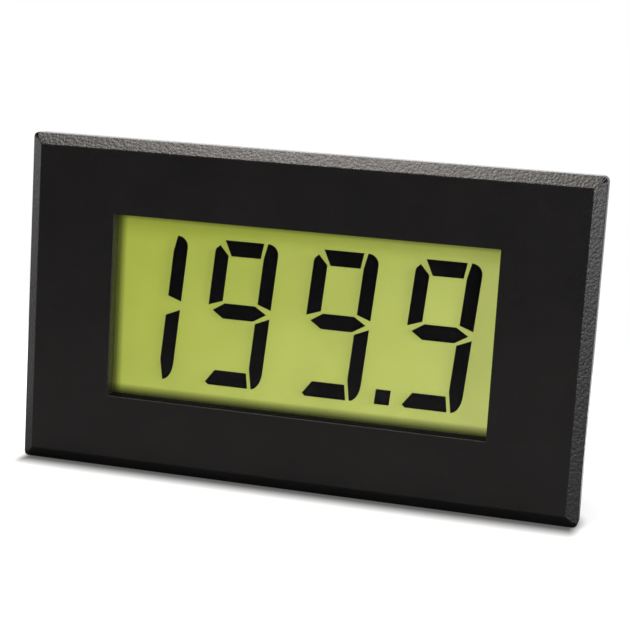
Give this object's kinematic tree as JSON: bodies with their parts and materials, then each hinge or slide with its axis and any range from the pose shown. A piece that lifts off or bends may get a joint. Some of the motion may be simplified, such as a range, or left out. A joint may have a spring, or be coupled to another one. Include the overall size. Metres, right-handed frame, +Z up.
{
  "type": "digital panel meter",
  "caption": "Digital panel meter: bevelled black bezel with a backlit liquid crystal display of leaning digits, sleeve, circuit board and sliding panel clips.",
  "frame": {"origin": "centre of the panel cut-out, on the plane where the flange's rear face meets the panel", "axes": "+Z up, +Y into the panel and out of the back of the meter, +X to the right as seen from the front; the display faces -Y"},
  "size_m": [0.059, 0.0189, 0.0344],
  "materials": {
    "bezel_plastic": "fine spark-eroded texture, black",
    "clip_plastic": "smooth moulded nylon, black",
    "front_film": "clear polarising film",
    "cell_glass": "clear float glass",
    "segment_ink": "near black, faintly blue",
    "seal_epoxy": "cured epoxy",
    "rear_film": "yellow-green transflecting film, lit from behind",
    "guide_acrylic": "frosted acrylic",
    "tray_white": "white moulded plastic",
    "lamp_epoxy": "diffused epoxy",
    "tinned_metal": "tin plated",
    "contact_rubber": "layered carbon and silicone rubber",
    "board_mask": "green solder mask over glass epoxy",
    "screw_steel": "zinc plated",
    "chip_black": "moulded epoxy",
    "film_cap_case": "moulded case, amber",
    "can_aluminium": "drawn can",
    "base_black": "moulded base",
    "resistor_black": "glazed film on ceramic",
    "ceramic_tan": "sintered ceramic",
    "trimmer_blue": "moulded blue case",
    "rotor_white": "off-white rotor",
    "carrier_black": "moulded carrier",
    "pin_gold": "gold flash",
    "link_blue": "moulded cap"
  },
  "bodies": {
    "meter": {"bezel": "bezel_plastic", "front_polariser": "front_film", "front_glass": "cell_glass", "display_segments": "segment_ink", "cell_seal": "seal_epoxy", "rear_glass": "cell_glass", "rear_polariser": "rear_film", "light_guide": "guide_acrylic", "reflector_tray": "tray_white", "backlight_lamps": "lamp_epoxy", "lamp_leads": "tinned_metal", "upper_contact_strip": "contact_rubber", "lower_contact_strip": "contact_rubber", "circuit_board": "board_mask", "board_screws": "screw_steel", "converter_chip": "chip_black", "converter_leads": "tinned_metal", "film_capacitors": "film_cap_case", "film_capacitor_leads": "tinned_metal", "supply_capacitor": "can_aluminium", "supply_capacitor_base": "base_black", "chip_resistors": "resistor_black", "chip_resistor_ends": "tinned_metal", "chip_capacitors": "ceramic_tan", "chip_capacitor_ends": "tinned_metal", "trimmer_body": "trimmer_blue", "trimmer_pins": "tinned_metal", "connector_carrier": "carrier_black", "connector_pins": "pin_gold", "link_carrier": "carrier_black", "link_pins": "pin_gold", "link_cap": "link_blue"},
    "left_clip": {"clip_left": "clip_plastic"},
    "right_clip": {"clip_right": "clip_plastic"},
    "rotor": {"trimmer_rotor": "rotor_white"}
  },
  "joints": [
    {"name": "left_clip_slide", "type": "slide", "parent": "meter", "child": "left_clip", "axis": [0, 1, 0], "range_m": [-0.0022, 0.003]},
    {"name": "right_clip_slide", "type": "slide", "parent": "meter", "child": "right_clip", "axis": [0, 1, 0], "range_m": [-0.0022, 0.003]},
    {"name": "trimmer_turn", "type": "hinge", "parent": "meter", "child": "rotor", "pos_m": [0.0162, 0.0116, 0.0062], "axis": [0, 1, 0], "range_deg": [-130, 130]}
  ]
}
